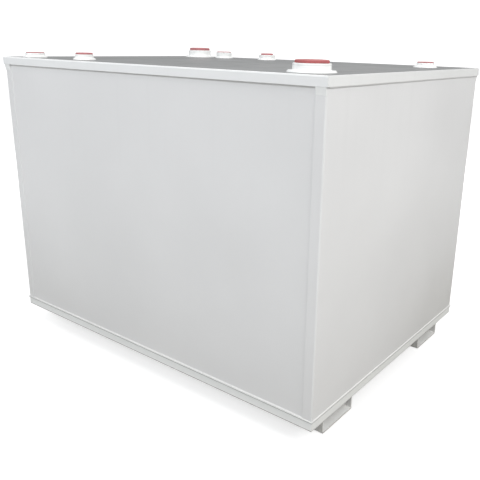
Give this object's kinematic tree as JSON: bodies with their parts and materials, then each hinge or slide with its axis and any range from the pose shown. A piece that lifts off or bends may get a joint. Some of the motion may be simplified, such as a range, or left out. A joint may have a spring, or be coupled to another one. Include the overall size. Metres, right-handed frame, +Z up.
{
  "type": "double wall fuel storage tank",
  "caption": "Rectangular double wall steel tank for fuel, painted white, standing on two lengthwise channel skids, with round threaded necks and red plugs on its flat top.",
  "frame": {"origin": "centre of the tank's footprint, on the plane its two skid channels stand on", "axes": "+X along the tank's length to the right end, -Y to the front long side, +Z up"},
  "size_m": [1.898, 1.412, 1.471],
  "materials": {
    "white_paint": "gloss",
    "neck_paint": "gloss",
    "deck_paint": "gloss",
    "bare_steel": "satin",
    "red_plastic": "matte"
  },
  "bodies": {
    "root": {"outer_front_wall": "white_paint", "outer_back_wall": "white_paint", "outer_left_end": "white_paint", "outer_right_end": "white_paint", "outer_floor_plate": "white_paint", "top_plate": "deck_paint", "rim_front": "white_paint", "rim_back": "white_paint", "rim_left": "white_paint", "rim_right": "white_paint", "base_rail_front": "white_paint", "base_rail_back": "white_paint", "base_rail_left": "white_paint", "base_rail_right": "white_paint", "skid_channel_front": "white_paint", "skid_channel_back": "white_paint", "inner_tank_shell": "bare_steel", "inner_tank_floor": "bare_steel", "inner_tank_top": "bare_steel", "inner_bearer_1": "bare_steel", "inner_bearer_2": "bare_steel", "inner_bearer_3": "bare_steel", "inner_bearer_4": "bare_steel", "emergency_vent_neck_right": "neck_paint", "emergency_vent_neck_left": "neck_paint", "fill_neck": "neck_paint", "gauge_neck": "neck_paint", "vent_neck": "neck_paint", "supply_neck": "neck_paint", "leak_check_neck": "neck_paint", "emergency_vent_plug_right": "red_plastic", "emergency_vent_plug_left": "red_plastic", "fill_plug": "red_plastic", "gauge_plug": "red_plastic", "vent_plug": "red_plastic", "supply_plug": "red_plastic", "leak_check_plug": "red_plastic"}
  },
  "joints": []
}
